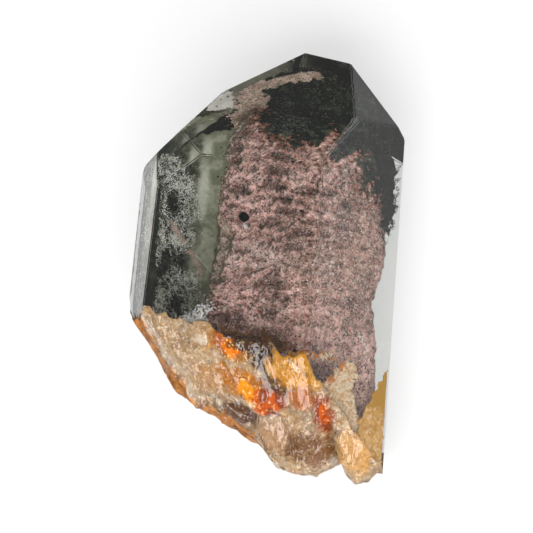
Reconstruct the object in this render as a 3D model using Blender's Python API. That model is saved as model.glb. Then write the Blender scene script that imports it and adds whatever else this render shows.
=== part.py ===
"""Garden quartz: a broken quartz point lying on one prism face, with a mineral garden sealed inside.

Millimetres in the tables, metres in the scene. The long axis is Y with the tip at +Y, and Z is up.
The clear crystal is parted into a front and a back half along a plane through its inner pocket,
so that the two inner pieces can be laid in. Every piece keeps GAP to its neighbours.
"""

import math

import bmesh
import bpy
from mathutils import Vector, noise

MM = 0.001
GAP = 0.3

# Crystal faces: turn round the long axis (degrees, 0 is up, + is right), lean toward the tip, distance (mm)
CRYSTAL_FACES = {
    "front": (0, 0, 10.75),
    "back": (180, 0, 10.75),
    "right_front": (60, 0, 14.16),
    "right_back": (120, 0, 17.06),
    "left_front": (-60, 2.8, 17.56),
    "left_back": (-120, 0, 14.65),
    "tip_front": (0, 38.2, 17.52),
    "tip_right": (61.5, 34.5, 23.56),
    "tip_right_back": (122, 38.2, 24.95),
    "tip_back": (164, 38.2, 20.69),
    "tip_left_back": (-128, 38.2, 17.67),
    "tip_left": (-74, 43, 22.0),
    "shoulder": (-18, 21, 16.95),
    "bevel": (46.8, 13.9, 17.87),
}
BLANK = 70.0
FRONT_Z = 10.75

# The break: where it meets the front faces, its lowest line, and where it meets the back face, as (x, y)
BREAK_FRONT = ((-18.5, -5.2), (-15, -7.0), (-11, -8.8), (-5, -9.6), (0, -11.2), (5, -12.4), (9.3, -12.6),
               (10.8, -16.0), (13.5, -19.8), (16.0, -24.0), (18.0, -28.2))
BREAK_LOW = ((-19.5, -4.5), (-17.5, -8.8), (-15, -13.4), (-12, -17.7), (-9, -20.1), (-6, -21.8), (-3, -23.5),
             (0, -25.2), (2, -27.8), (5, -29.0), (7.9, -28.8), (9.3, -27.9), (11.2, -27.2), (13.9, -29.3),
             (15.8, -29.2), (17.3, -28.2))
BREAK_BACK = ((-14, -8.0), (-9, -12.5), (-4, -17.0), (2, -21.5), (8, -24.0), (14, -25.0), (18, -25.0))
BREAK_LOW_Z = ((-19.5, 2.0), (-15, -0.5), (-8, -3.0), (0, -4.5), (12, -4.5), (18, -3.0))
BREAK_BULGE = 1.5
BREAK_STEP = 0.65

# Lumps (+) and hollows (-) on the break: x, z, half width in x and in z, height (mm)
BREAK_FORMS = {
    "hollow under the front face": (4.2, 9.2, 2.0, 1.9, -1.8),
    "stained block": (1.4, 5.6, 3.6, 1.7, 1.4),
    "flake block": (3.0, 1.4, 2.8, 2.2, 1.2),
    "facet beside the hollow": (5.8, 6.9, 1.8, 1.6, -0.9),
    "stained knob": (8.4, 6.9, 1.3, 1.2, 0.8),
    "left ledge": (-9.0, 7.4, 3.2, 1.3, 0.7),
}

# Crests (+) and clefts (-) on the break: height, half width, then their x, z points
BREAK_LINES = {
    "crest above the rim": (0.6, 0.9, ((-14.6, 8.9), (-12.7, 6.5), (-10.8, 3.1), (-8.4, 0.6), (-5.4, 0.4))),
    "cleft left of the right lobe": (-1.5, 1.1, ((10.8, 6.4), (11.6, 3.2), (11.4, -1.0), (11.2, -6.0))),
    "right lobe crest": (0.8, 1.2, ((12.6, 3.6), (13.6, 1.0), (14.4, -2.0))),
}

# The garden: stations along the axis as y, left x, right x, height above the parting plane
GARDEN_STATIONS = (
    (-22.0, 8.5, 13.0, 2.4),
    (-18.5, 3.5, 13.6, 5.4),
    (-14.5, -4.5, 13.5, 8.0),
    (-9.5, -8.6, 13.2, 9.4),
    (-4.0, -7.6, 11.8, 10.0),
    (1.0, -7.1, 13.8, 10.3),
    (7.0, -6.8, 13.8, 10.2),
    (12.0, -6.6, 13.0, 9.4),
    (15.5, -5.8, 11.8, 7.4),
    (17.2, -5.2, 9.6, 5.2),
    (18.6, -4.2, 1.0, 3.8),
    (19.4, -3.2, -0.6, 2.4),
)
GARDEN_SIDE = 1.2
GARDEN_LEFT_FLANK = 0.24
GARDEN_RIGHT_FLANK = 0.42
GARDEN_KNOBS = 0.5

# The chlorite bed under it: stations as y, left x, right x, thickness
BED_STATIONS = (
    (-9.0, -10.2, 9.6, 0.9),
    (-5.0, -11.1, 9.8, 1.6),
    (1.0, -11.2, 10.2, 1.8),
    (5.0, -11.2, 12.0, 1.7),
    (9.0, -10.8, 13.9, 1.8),
    (13.0, -8.1, 14.0, 1.8),
    (16.0, -5.2, 13.4, 1.6),
    (19.0, -2.4, 11.5, 1.5),
    (21.0, 0.0, 6.5, 1.0),
)
BED_RIPPLE = 0.25

PARTING_Z = -5.45
STATION_STEPS = 18
ACROSS_STEPS = 16

# The point of the tables above that becomes the scene's origin, under the middle of the whole crystal
ORIGIN = Vector((-0.38, 0.49, -FRONT_Z))


def face_normal(turn, lean):
    turn, lean = math.radians(turn), math.radians(lean)
    return Vector((math.cos(lean) * math.sin(turn), math.sin(lean), math.cos(lean) * math.cos(turn)))


def along(points, x):
    """The value at x of a line drawn through the (x, value) points."""
    if x <= points[0][0]:
        return points[0][1]
    for (x0, y0), (x1, y1) in zip(points, points[1:]):
        if x <= x1:
            return y0 + (y1 - y0) * (x - x0) / (x1 - x0)
    return points[-1][1]


def distance_to_line(x, z, start, end):
    """How far the point x, z is from the line between two points."""
    run_x, run_z = end[0] - start[0], end[1] - start[1]
    share = ((x - start[0]) * run_x + (z - start[1]) * run_z) / (run_x ** 2 + run_z ** 2)
    share = min(max(share, 0.0), 1.0)
    return math.hypot(x - start[0] - share * run_x, z - start[1] - share * run_z)


def break_height(x, z):
    """The y of the broken surface under the point x, z."""
    turn, lean, distance = CRYSTAL_FACES["right_front"]
    normal = face_normal(turn, lean)
    top = min(FRONT_Z, max((distance - normal.x * x) / normal.z, -2.0))
    low = min(along(BREAK_LOW_Z, x), top - 2.0)
    if z >= low:
        share = min(max((top - z) / (top - low), -0.6), 1.0)
        share = 1.0 - (1.0 - share) ** BREAK_BULGE
        y = along(BREAK_FRONT, x) * (1.0 - share) + along(BREAK_LOW, x) * share
    else:
        share = min((low - z) / (low + FRONT_Z), 1.0) ** 1.6
        y = along(BREAK_LOW, x) * (1.0 - share) + along(BREAK_BACK, x) * share
    for form_x, form_z, half_x, half_z, height in BREAK_FORMS.values():
        reach = math.hypot((x - form_x) / half_x, (z - form_z) / half_z)
        y -= height * max(0.0, 1.0 - reach ** 3) if reach < 1.0 else 0.0
    for height, half_width, points in BREAK_LINES.values():
        away = min(distance_to_line(x, z, *pair) for pair in zip(points, points[1:]))
        y -= height * max(0.0, 1.0 - away / half_width)
    return y + 0.45 * noise.noise(Vector((x, z, 3.0)) / 2.6) + 0.25 * noise.noise(Vector((x, z, 9.0)) / 1.1)


def station_at(stations, y):
    """Left x, right x and height at y, between the two nearest stations."""
    return [along([(row[0], row[column]) for row in stations], y) for column in (1, 2, 3)]


def cluster(name):
    collection = bpy.data.collections.new(name)
    bpy.context.scene.collection.children.link(collection)
    return collection


def add_object(name, mesh_data, collection, colour, roughness, transmission=0.0):
    mesh = bpy.data.meshes.new(name)
    bmesh.ops.recalc_face_normals(mesh_data, faces=mesh_data.faces)
    mesh_data.to_mesh(mesh)
    mesh_data.free()
    obj = bpy.data.objects.new(name, mesh)
    collection.objects.link(obj)
    material = bpy.data.materials.new(name)
    material.use_nodes = True
    shader = material.node_tree.nodes["Principled BSDF"]
    shader.inputs["Base Color"].default_value = (*colour, 1.0)
    shader.inputs["Roughness"].default_value = roughness
    shader.inputs["Transmission Weight"].default_value = transmission
    mesh.materials.append(material)
    return obj


def add_cutter(name, mesh_data):
    obj = add_object(name, mesh_data, cutters, (0.8, 0.3, 0.1), 0.6)
    obj.hide_render = True
    obj.display_type = "WIRE"
    return obj


def cut(obj, cutter, operation="DIFFERENCE"):
    modifier = obj.modifiers.new(cutter.name, "BOOLEAN")
    modifier.solver = "EXACT"
    modifier.operation = operation
    modifier.object = cutter


def box(low, high):
    data = bmesh.new()
    bmesh.ops.create_cube(data, size=1.0)
    for vertex in data.verts:
        for axis in range(3):
            span = high[axis] - low[axis]
            vertex.co[axis] = (low[axis] + span * (vertex.co[axis] + 0.5) - ORIGIN[axis]) * MM
    return data


def crystal():
    """A cube cut down to the crystal faces, one plane at a time."""
    data = box((-BLANK, -BLANK, -BLANK), (BLANK, BLANK, BLANK))
    for turn, lean, distance in CRYSTAL_FACES.values():
        normal = face_normal(turn, lean)
        found = bmesh.ops.bisect_plane(
            data,
            geom=data.verts[:] + data.edges[:] + data.faces[:],
            dist=1e-7,
            plane_co=(normal * distance - ORIGIN) * MM,
            plane_no=normal,
            clear_outer=True,
        )
        edges = [item for item in found["geom_cut"] if isinstance(item, bmesh.types.BMEdge)]
        bmesh.ops.contextual_create(data, geom=edges)
    return data


def close_downwards(data, axis, level):
    """Turns an open sheet into a solid by drawing its outline out to a flat end."""
    rim = [edge for edge in data.edges if edge.is_boundary]
    drawn = bmesh.ops.extrude_edge_only(data, edges=rim)["geom"]
    for item in drawn:
        if isinstance(item, bmesh.types.BMVert):
            item.co[axis] = level
    bmesh.ops.contextual_create(data, geom=[item for item in drawn if isinstance(item, bmesh.types.BMEdge)])


def break_cutter():
    """Everything below the broken surface."""
    columns, rows = round(44.0 / BREAK_STEP), round(26.0 / BREAK_STEP)
    data = bmesh.new()
    bmesh.ops.create_grid(data, x_segments=columns, y_segments=rows, size=1.0)
    for vertex in data.verts:
        x, z = vertex.co.x * 22.0, vertex.co.y * 13.0
        vertex.co = (Vector((x, break_height(x, z), z)) - ORIGIN) * MM
    bmesh.ops.triangulate(data, faces=data.faces)
    close_downwards(data, 1, (-BLANK - 5.0 - ORIGIN.y) * MM)
    return data


def lofted(stations, height_at, flat_z, grow, deepen):
    """A sheet over the stations' outline, closed to a flat face at flat_z, grown by grow all round."""
    first, last = stations[0][0], stations[-1][0]
    data = bmesh.new()
    bmesh.ops.create_grid(data, x_segments=ACROSS_STEPS, y_segments=STATION_STEPS, size=1.0)
    for vertex in data.verts:
        across, endwise = vertex.co.x, vertex.co.y
        y = first + (last - first) * (endwise + 1.0) / 2.0
        left, right, height = station_at(stations, y)
        x = left + (right - left) * (across + 1.0) / 2.0
        z = height_at(x, y, left, right, height, grow)
        vertex.co = (Vector((x + grow * across, y + grow * endwise, z)) - ORIGIN) * MM
    bmesh.ops.triangulate(data, faces=data.faces)
    close_downwards(data, 2, (flat_z + deepen - ORIGIN.z) * MM)
    return data


def garden_top(x, y, left, right, height, grow):
    across = min(max((x - left) / (right - left), 0.0), 1.0)
    flank = min(across / GARDEN_LEFT_FLANK, (1.0 - across) / GARDEN_RIGHT_FLANK, 1.0)
    ends = min((y - GARDEN_STATIONS[0][0]) / 2.0, (GARDEN_STATIONS[-1][0] - y) / 1.2, 1.0)
    rise = math.sin(math.pi / 2.0 * flank) * math.sin(math.pi / 2.0 * max(ends, 0.0))
    knobs = GARDEN_KNOBS * noise.noise(Vector((x, y, 0.0)) / 2.4) * rise
    return PARTING_Z + GAP / 2 + GARDEN_SIDE + (height - GARDEN_SIDE) * rise + knobs + 1.6 * grow


def bed_bottom(x, y, left, right, thickness, grow):
    ripple = BED_RIPPLE * noise.noise(Vector((x, y, 5.0)) / 3.0)
    return PARTING_Z - GAP / 2 - thickness + ripple - 1.2 * grow


for old in list(bpy.data.objects):
    bpy.data.objects.remove(old, do_unlink=True)

pieces = cluster("garden_quartz")
cutters = cluster("cutters")
cutters.hide_render = True

front_end = PARTING_Z + GAP / 2
back_end = PARTING_Z - GAP / 2
broken = add_cutter("break_cutter", break_cutter())
below_parting = add_cutter("below_parting", box((-BLANK, -BLANK, -BLANK), (BLANK, BLANK, front_end)))
above_parting = add_cutter("above_parting", box((-BLANK, -BLANK, back_end), (BLANK, BLANK, BLANK)))
garden_pocket = add_cutter("garden_pocket", lofted(GARDEN_STATIONS, garden_top, front_end, GAP, -1.0))
bed_pocket = add_cutter("bed_pocket", lofted(BED_STATIONS, bed_bottom, back_end, GAP, 1.0))

quartz_front = add_object("quartz_front", crystal(), pieces, (0.86, 0.87, 0.84), 0.05, 1.0)
for cutter in (broken, below_parting, garden_pocket):
    cut(quartz_front, cutter)

quartz_back = add_object("quartz_back", crystal(), pieces, (0.86, 0.87, 0.84), 0.05, 1.0)
for cutter in (broken, above_parting, bed_pocket):
    cut(quartz_back, cutter)

add_object("garden", lofted(GARDEN_STATIONS, garden_top, front_end, 0.0, 0.0), pieces, (0.45, 0.31, 0.28), 0.8)
add_object("chlorite_bed", lofted(BED_STATIONS, bed_bottom, back_end, 0.0, 0.0), pieces, (0.04, 0.06, 0.04), 0.8)
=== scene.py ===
"""Looks for a garden quartz: a clear broken quartz point lying on a pale floor, with a mineral garden inside.

The tables are in millimetres, in the crystal's own frame: long axis Y with the tip at +Y, Z up out of the
front prism face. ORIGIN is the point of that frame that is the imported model's origin.
"""

import math
import random

import bmesh
import bpy
from mathutils import Matrix, Vector, noise


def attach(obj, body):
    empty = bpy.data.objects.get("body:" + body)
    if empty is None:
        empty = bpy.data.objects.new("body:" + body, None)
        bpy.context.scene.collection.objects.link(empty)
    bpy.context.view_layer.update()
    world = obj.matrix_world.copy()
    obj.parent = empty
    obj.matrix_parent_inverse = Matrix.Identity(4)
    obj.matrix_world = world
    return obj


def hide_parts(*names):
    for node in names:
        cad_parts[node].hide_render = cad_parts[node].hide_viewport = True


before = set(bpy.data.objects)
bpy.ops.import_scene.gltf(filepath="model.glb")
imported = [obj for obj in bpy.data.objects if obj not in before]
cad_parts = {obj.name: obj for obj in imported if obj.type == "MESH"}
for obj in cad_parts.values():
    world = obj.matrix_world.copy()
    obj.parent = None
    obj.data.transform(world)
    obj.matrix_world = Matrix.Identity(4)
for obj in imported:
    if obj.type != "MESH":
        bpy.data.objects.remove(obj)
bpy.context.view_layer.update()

MM = 0.001
ORIGIN = Vector((-0.38, 0.49, -10.75))
FRONT_Z = 10.75
HALF_BLANK = 36.0

# Crystal faces: turn round the long axis (degrees, 0 is up, + is right), lean toward the tip, distance
CRYSTAL_FACES = {
    "front": (0, 0, 10.75),
    "back": (180, 0, 10.75),
    "right_front": (60, 0, 14.16),
    "right_back": (120, 0, 17.06),
    "left_front": (-60, 2.8, 17.56),
    "left_back": (-120, 0, 14.65),
    "tip_front": (0, 38.2, 17.52),
    "tip_right": (61.5, 34.5, 23.56),
    "tip_right_back": (122, 38.2, 24.95),
    "tip_back": (164, 38.2, 20.69),
    "tip_left_back": (-128, 38.2, 17.67),
    "tip_left": (-74, 43, 22.0),
    "shoulder": (-18, 21, 16.95),
    "bevel": (46.8, 13.9, 17.87),
}

# The break, as (x, y): where it meets the front faces, its lowest line, and where it meets the back face.
# The height of the lowest line is given as (x, z).
BREAK_FRONT = ((-18.5, -5.2), (-15, -7.0), (-11, -8.8), (-5, -9.6), (0, -11.2), (5, -12.4), (9.3, -12.6),
               (10.8, -16.0), (13.5, -19.8), (16.0, -24.0), (18.0, -28.2))
BREAK_LOW = ((-19.5, -4.5), (-17.5, -8.8), (-15, -13.4), (-12, -17.7), (-9, -20.1), (-6, -21.8), (-3, -23.5),
             (0, -25.2), (2, -27.8), (5, -29.0), (7.9, -28.8), (9.3, -27.9), (11.2, -27.2), (13.9, -29.3),
             (15.8, -29.2), (17.3, -28.2))
BREAK_BACK = ((-14, -8.0), (-9, -12.5), (-4, -17.0), (2, -21.5), (8, -24.0), (14, -25.0), (18, -25.0))
BREAK_LOW_Z = ((-19.5, 2.0), (-15, -0.5), (-8, -3.0), (0, -4.5), (12, -4.5), (18, -3.0))
BREAK_BULGE, BREAK_SWEEP = 1.5, 1.6

# The x and z that the break's sheets span, their mesh steps, where the cutting block ends, the angle in
# degrees beyond which chips meet sharply, and the wear of the crystal's edges
BREAK_SPAN = ((-22.0, 20.0), (-11.6, 11.6))
BREAK_STEP, CRUST_STEP = 0.16, 0.2
CUTTER_END = -50.0
SHARP_CHIP = 9.0
EDGE_WEAR = 0.16

# Lumps (+) and hollows (-) on the break: x, z, half width in x and in z, height
BREAK_FORMS = {
    "hollow under the front face": (4.2, 9.0, 2.4, 2.4, -0.7),
    "stained block": (1.4, 5.2, 3.6, 2.0, 1.1),
    "flake block": (3.0, 1.4, 2.8, 2.2, 1.2),
    "stained knob": (8.4, 6.9, 1.3, 1.2, 0.8),
    "left ledge": (-9.0, 7.4, 3.2, 1.3, 0.7),
}

# Crests (+) and clefts (-) on the break: height, half width, then their x, z points
BREAK_LINES = {
    "crest above the rim": (0.6, 0.9, ((-14.6, 8.9), (-12.7, 6.5), (-10.8, 3.1), (-8.4, 0.6), (-5.4, 0.4))),
    "cleft left of the right lobe": (-1.5, 1.1, ((10.8, 6.4), (11.6, 3.2), (11.4, -1.0), (11.2, -6.0))),
    "right lobe crest": (0.8, 1.2, ((12.6, 3.6), (13.6, 1.0), (14.4, -2.0))),
    "cleft right of the flake block": (-1.0, 0.9, ((4.4, 4.4), (5.7, 1.8), (6.3, -1.8))),
    "crest of the tan lobe": (0.7, 1.2, ((9.0, 4.6), (8.2, 1.6), (8.6, -1.5))),
}

# The smooth facets under the front face: x, z, half width in x and in z
SMOOTH_FACETS = (5.2, 7.0, 2.6, 2.2)

# Where stain lies on the outside of the break: x, z, half width in x and in z
CRUSTED = {
    "orange block": (1.6, 6.0, 4.6, 1.7),
    "red streak": (11.2, 5.0, 0.9, 3.2),
    "spot under the front face": (-1.8, 9.8, 1.9, 1.1),
}

# The garden: stations along the axis as y, left x, right x, height above the parting plane
GARDEN_STATIONS = (
    (-22.0, 8.5, 13.0, 2.4),
    (-18.5, 3.5, 13.6, 5.4),
    (-14.5, -4.5, 13.5, 8.0),
    (-9.5, -8.6, 13.2, 9.4),
    (-4.0, -7.6, 11.8, 10.0),
    (1.0, -7.1, 13.8, 10.3),
    (7.0, -6.8, 13.8, 10.2),
    (12.0, -6.6, 13.0, 9.4),
    (15.5, -5.8, 11.8, 7.4),
    (17.2, -5.2, 9.6, 5.2),
    (18.6, -4.2, 1.0, 3.8),
    (19.4, -3.2, -0.6, 2.4),
)
GARDEN_SIDE = 1.2
GARDEN_RIGHT_FLANK = 0.42

# The crest of the garden as y, x; the ground left of it is a lower ledge
GARDEN_CREST = ((-22.0, 10.0), (-14.5, -1.5), (-9.5, -6.9), (-4.0, -5.2), (1.0, -3.4), (4.0, -2.5),
                (6.5, -4.9), (9.0, -5.4), (15.5, -4.6), (19.4, -2.4))
GARDEN_HOLE = (-1.75, 6.5)

# The older growth surface near the tip: its outline as x, y, and how deep its pink band is, as x, depth
PHANTOM_OUTLINE = ((-7.2, 11.8), (-6.6, 18.6), (-4.9, 24.0), (-2.8, 26.0), (-0.2, 26.9), (1.8, 27.1),
                   (5.5, 27.8), (7.3, 26.9), (9.0, 25.6), (10.8, 24.8), (14.2, 22.6), (14.8, 20.2),
                   (13.4, 17.0), (13.2, 12.0))
PINK_BAND = ((-3.0, 3.0), (3.0, 3.3), (7.0, 2.4))

# The chlorite film up the left back faces and the milky cloud at the tip, which partly paints a reflection,
# as x, y
LEFT_OUTLINE = ((-12.6, -9.0), (-15.0, -7.0), (-15.4, 2.0), (-15.2, 8.5), (-13.4, 13.0), (-10.5, 15.0),
                (-4.8, 16.0), (-4.8, -8.0), (-9.5, -9.4))
MILKY_OUTLINE = ((-9.4, 20.3), (-6.3, 20.0), (-5.9, 22.4), (-6.4, 24.2), (-7.6, 23.2))
BACK_FACES = ("tip_back", "tip_left_back", "tip_right_back", "left_back", "right_back")

# The cream lobe and the honey film behind the right front face, as x, y
CREAM_OUTLINE = ((10.6, -17.6), (11.9, -14.8), (13.8, -11.8), (14.3, -14.0), (13.9, -16.6), (14.5, -19.5),
                 (15.4, -22.2), (15.8, -25.4), (14.2, -25.0), (12.4, -21.0))
FILM_OUTLINE = ((17.2, -13.4), (17.9, -13.2), (18.2, -15.0), (18.2, -28.5), (15.6, -28.5), (14.9, -24.6),
                (15.0, -21.0), (15.9, -17.2))

# The chlorite bed under the garden: stations as y, left x, right x, thickness; and the plane between the two
BED_STATIONS = (
    (-9.0, -10.2, 9.6, 0.9),
    (-5.0, -11.1, 9.8, 1.6),
    (1.0, -11.2, 10.2, 1.8),
    (5.0, -11.2, 12.0, 1.7),
    (9.0, -10.8, 13.9, 1.8),
    (13.0, -8.1, 14.0, 1.8),
    (16.0, -5.2, 13.4, 1.6),
    (19.0, -2.4, 11.5, 1.5),
    (21.0, 0.0, 6.5, 1.0),
)
PARTING_Z = -5.45

# Where the tufts grow, as y, x; three dark specks in the milky cloud; and pink strands, as start, end
TUFT_LINE = ((6, 13.0), (10, 13.3), (13, 12.9), (16, 11.8))
DARK_SPECKS = ((-6.3, 23.0, 2.8), (-7.8, 21.1, 2.5), (-7.3, 22.4, 2.8))
PINK_STRANDS = (
    ((-12.5, 5.2, 4.6), (-10.2, 2.4, 4.6)),
    ((-9.4, 1.5, 4.6), (-7.2, -2.0, 4.6)),
)

# Strewn flakes: start, end, how many, how far off the line, and their size
# White flakes along the cracks: partly real flakes, partly painted glints
CRACK_STRANDS = (
    ((-9.8, -9.0, 7.8), (-5.2, -6.4, 9.2), 260, 0.5, 0.13),
    ((-8.4, -8.8, 8.8), (-6.0, -8.0, 9.4), 160, 0.4, 0.18),
    ((14.2, -8.6, 2.2), (15.4, -11.0, 0.6), 60, 0.12, 0.09),
    ((-9.1, 0.9, 1.0), (-6.5, -1.5, 1.0), 60, 0.02, 0.05),
    ((-1.6, 5.3, 5.6), (-1.2, 5.0, 5.6), 50, 0.13, 0.11),
)
HONEY_STRANDS = (
    ((13.8, -12.3, 3.8), (11.4, -16.6, 7.6), 420, 0.28, 0.19),
    ((7.5, -12.4, 9.6), (12.6, -12.2, 5.8), 180, 0.35, 0.17),
    ((15.9, -22.6, -0.4), (14.9, -15.6, 1.6), 50, 0.25, 0.12),
)
# Dark brown grains under the front face's lower edge: partly a stain, partly a painted shadow
SHADOW_AND_STAIN_STRANDS = (
    ((-3.5, -9.4, 8.8), (6.0, -11.2, 8.6), 420, 0.45, 0.12),
    ((2.5, -10.6, 8.6), (5.6, -11.6, 8.6), 260, 0.4, 0.16),
    ((2.6, -9.0, 7.6), (3.4, -10.8, 8.0), 120, 0.35, 0.12),
)

# The camera's turn to the right of the front face's normal, its drop toward the base, and its roll (degrees)
CAMERA_TURN, CAMERA_DROP, CAMERA_ROLL = 15.5, -2.0, 3.84
CAMERA_DISTANCE = 1200.0
IMAGE_PIXELS, MM_PER_PIXEL = 533, 0.14

# The floor's grey and glow, the world's glow, and the softboxes: place and size in metres, power in watts
FLOOR_GREY, FLOOR_GLOW, WORLD_GLOW = 0.28, 0.62, 0.40
SOFTBOXES = {
    "softbox_base": ((0.15, -0.75, 0.85), (1.2, 1.2), 27.0),
    "softbox_right": ((0.95, 0.45, 0.22), (0.6, 0.6), 2.4),
}


def face_normal(turn, lean):
    """The direction a crystal face looks."""
    turn, lean = math.radians(turn), math.radians(lean)
    return Vector((math.cos(lean) * math.sin(turn), math.sin(lean), math.cos(lean) * math.cos(turn)))


PLANES = [(face_normal(turn, lean), distance) for turn, lean, distance in CRYSTAL_FACES.values()]


def inside_by(point):
    """How far a point lies inside the crystal's faces, in mm; negative outside."""
    return min(distance - point.dot(normal) for normal, distance in PLANES)


def face_z(name, x, y, inset=0.0):
    """The height of a crystal face over x, y, moved inward by inset."""
    turn, lean, distance = CRYSTAL_FACES[name]
    normal = face_normal(turn, lean)
    return (distance - inset - normal.x * x - normal.y * y) / normal.z


def to_row(point):
    """A point of the crystal's frame, in mm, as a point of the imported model, in metres."""
    return (Vector(point) - ORIGIN) * MM


def along(points, x):
    """The value at x of a line drawn through the (x, value) points."""
    if x <= points[0][0]:
        return points[0][1]
    for (x0, y0), (x1, y1) in zip(points, points[1:]):
        if x <= x1:
            return y0 + (y1 - y0) * (x - x0) / (x1 - x0)
    return points[-1][1]


def distance_to_line(x, z, start, end):
    """How far the point x, z is from the line between two points."""
    run_x, run_z = end[0] - start[0], end[1] - start[1]
    share = ((x - start[0]) * run_x + (z - start[1]) * run_z) / (run_x ** 2 + run_z ** 2)
    share = min(max(share, 0.0), 1.0)
    return math.hypot(x - start[0] - share * run_x, z - start[1] - share * run_z)


def chance(x, z):
    """A fixed number from 0 to 1 for a place."""
    return math.sin(x * 12.9898 + z * 78.233 + 3.7) * 43758.5453 % 1.0


def splinters(x, z, size, tilt, turn, stretch, step):
    """Flat chips: each cell of a cracked pattern is a small plane, tilted and set back its own way."""
    across = (math.cos(turn) * x + math.sin(turn) * z) / size
    lengthwise = (math.cos(turn) * z - math.sin(turn) * x) / (size * stretch)
    nearest = noise.voronoi(Vector((across, lengthwise, 0.37)))[1][0]
    lean = tilt * (0.35 + 0.65 * chance(nearest.y, nearest.x))
    way = 2.0 * math.pi * chance(nearest.x, nearest.y)
    slope = math.cos(way) * (across - nearest.x) + math.sin(way) * (lengthwise - nearest.y)
    return step * (chance(nearest.x + 5.0, nearest.y) - 0.5) + lean * slope * size


def waves(x, y, pattern, size):
    """Soft noise about zero, with waves of this size; pattern is any number."""
    return noise.noise(Vector((x, y, pattern)) / size)


def ridges(x, y, pattern, size):
    """Noise with sharp crests, from about -0.5 to 1."""
    return 1.0 - 3.0 * abs(waves(x, y, pattern, size))


def smooth(value):
    """0 below 0, 1 above 1, and an even curve between."""
    value = min(max(value, 0.0), 1.0)
    return value * value * (3.0 - 2.0 * value)


def break_height(x, z):
    """The y of the broken surface under the point x, z."""
    top = min(FRONT_Z, max(face_z("right_front", x, 0.0), -2.0))
    low = min(along(BREAK_LOW_Z, x), top - 2.0)
    if z >= low:
        share = min(max((top - z) / (top - low), -0.6), 1.0)
        share = 1.0 - (1.0 - share) ** BREAK_BULGE
        y = along(BREAK_FRONT, x) * (1.0 - share) + along(BREAK_LOW, x) * share
    else:
        share = min((low - z) / (low + FRONT_Z), 1.0) ** BREAK_SWEEP
        y = along(BREAK_LOW, x) * (1.0 - share) + along(BREAK_BACK, x) * share
    for form_x, form_z, half_x, half_z, height in BREAK_FORMS.values():
        reach = math.hypot((x - form_x) / half_x, (z - form_z) / half_z)
        y -= height * max(0.0, 1.0 - reach ** 2)
    for height, half_width, points in BREAK_LINES.values():
        away = min(distance_to_line(x, z, *pair) for pair in zip(points, points[1:]))
        y -= height * max(0.0, 1.0 - away / half_width)
    return y + 0.45 * waves(x, z, 3.0, 2.6) + 0.25 * waves(x, z, 9.0, 1.1)


def chip_share(x, z):
    """How strongly the break is chipped: less on the far side and on the smooth facets."""
    centre_x, centre_z, half_x, half_z = SMOOTH_FACETS
    flat = smooth(1.5 - math.hypot((x - centre_x) / half_x, (z - centre_z) / half_z))
    return (0.3 + 0.7 * smooth((z + 3.0) / 3.0)) * (1.0 - 0.75 * flat)


def chipped_break(x, z):
    """The break with its large chips, which the stained layer under it follows."""
    warp = 0.4 * waves(x, z, 21.0, 1.7)
    chips = splinters(x + warp, z - warp, 2.4, 0.5, 0.8, 2.0, 0.6)
    return break_height(x, z) + chips * chip_share(x, z)


def fine_break(x, z):
    """The break with its small chips and ripples."""
    warp = 0.2 * waves(x, z, 31.0, 1.2)
    chips = splinters(x - warp, z + warp, 1.2, 0.5, 2.2, 2.4, 0.3) + splinters(x, z, 0.5, 0.4, 0.6, 1.6, 0.06)
    swirl = 2.0 * waves(x, z, 50.0, 4.0)
    ripples = 0.03 * math.sin((0.8 * x + z + swirl) * 12.0)
    return chipped_break(x, z) + (chips + ripples) * chip_share(x, z)


def station_at(stations, y):
    """Left x, right x and height at y, between the two nearest stations."""
    return [along([(row[0], row[column]) for row in stations], y) for column in (1, 2, 3)]


def link_mesh(name, mesh, material):
    """A new object in the scene with this mesh."""
    obj = bpy.data.objects.new(name, mesh)
    bpy.context.scene.collection.objects.link(obj)
    mesh.materials.append(material)
    return obj


def new_object(name, data, material):
    """A new object in the scene, with faces that look outward."""
    mesh = bpy.data.meshes.new(name)
    bmesh.ops.recalc_face_normals(data, faces=data.faces)
    data.to_mesh(mesh)
    data.free()
    return link_mesh(name, mesh, material)


def draw_to_a_block(data, end):
    """Turns the open sheet over the break into a solid by drawing its outline out to a flat end in y."""
    rim = [edge for edge in data.edges if edge.is_boundary]
    drawn = bmesh.ops.extrude_edge_only(data, edges=rim)["geom"]
    for item in drawn:
        if isinstance(item, bmesh.types.BMVert):
            item.co.y = end
    bmesh.ops.contextual_create(data, geom=[item for item in drawn if isinstance(item, bmesh.types.BMEdge)])


def crystal():
    """A cube cut down to the crystal faces, one plane at a time, with its edges very slightly worn."""
    data = bmesh.new()
    bmesh.ops.create_cube(data, size=2.0 * HALF_BLANK * MM)
    for normal, distance in PLANES:
        found = bmesh.ops.bisect_plane(
            data,
            geom=data.verts[:] + data.edges[:] + data.faces[:],
            dist=1e-7,
            plane_co=to_row(normal * distance),
            plane_no=normal,
            clear_outer=True,
        )
        edges = [item for item in found["geom_cut"] if isinstance(item, bmesh.types.BMEdge)]
        bmesh.ops.contextual_create(data, geom=edges)
    bmesh.ops.bevel(data, geom=data.edges[:], offset=EDGE_WEAR * MM, segments=2, affect="EDGES")
    return data


def sheet_over(height_at, step):
    """A sheet of small squares over the whole break."""
    (low_x, high_x), (low_z, high_z) = BREAK_SPAN
    data = bmesh.new()
    bmesh.ops.create_grid(
        data,
        x_segments=round((high_x - low_x) / step),
        y_segments=round((high_z - low_z) / step),
        size=1.0,
    )
    for vertex in data.verts:
        x = low_x + (high_x - low_x) * (vertex.co.x + 1.0) / 2.0
        z = low_z + (high_z - low_z) * (vertex.co.y + 1.0) / 2.0
        vertex.co = to_row((x, height_at(x, z), z))
    return data


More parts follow.
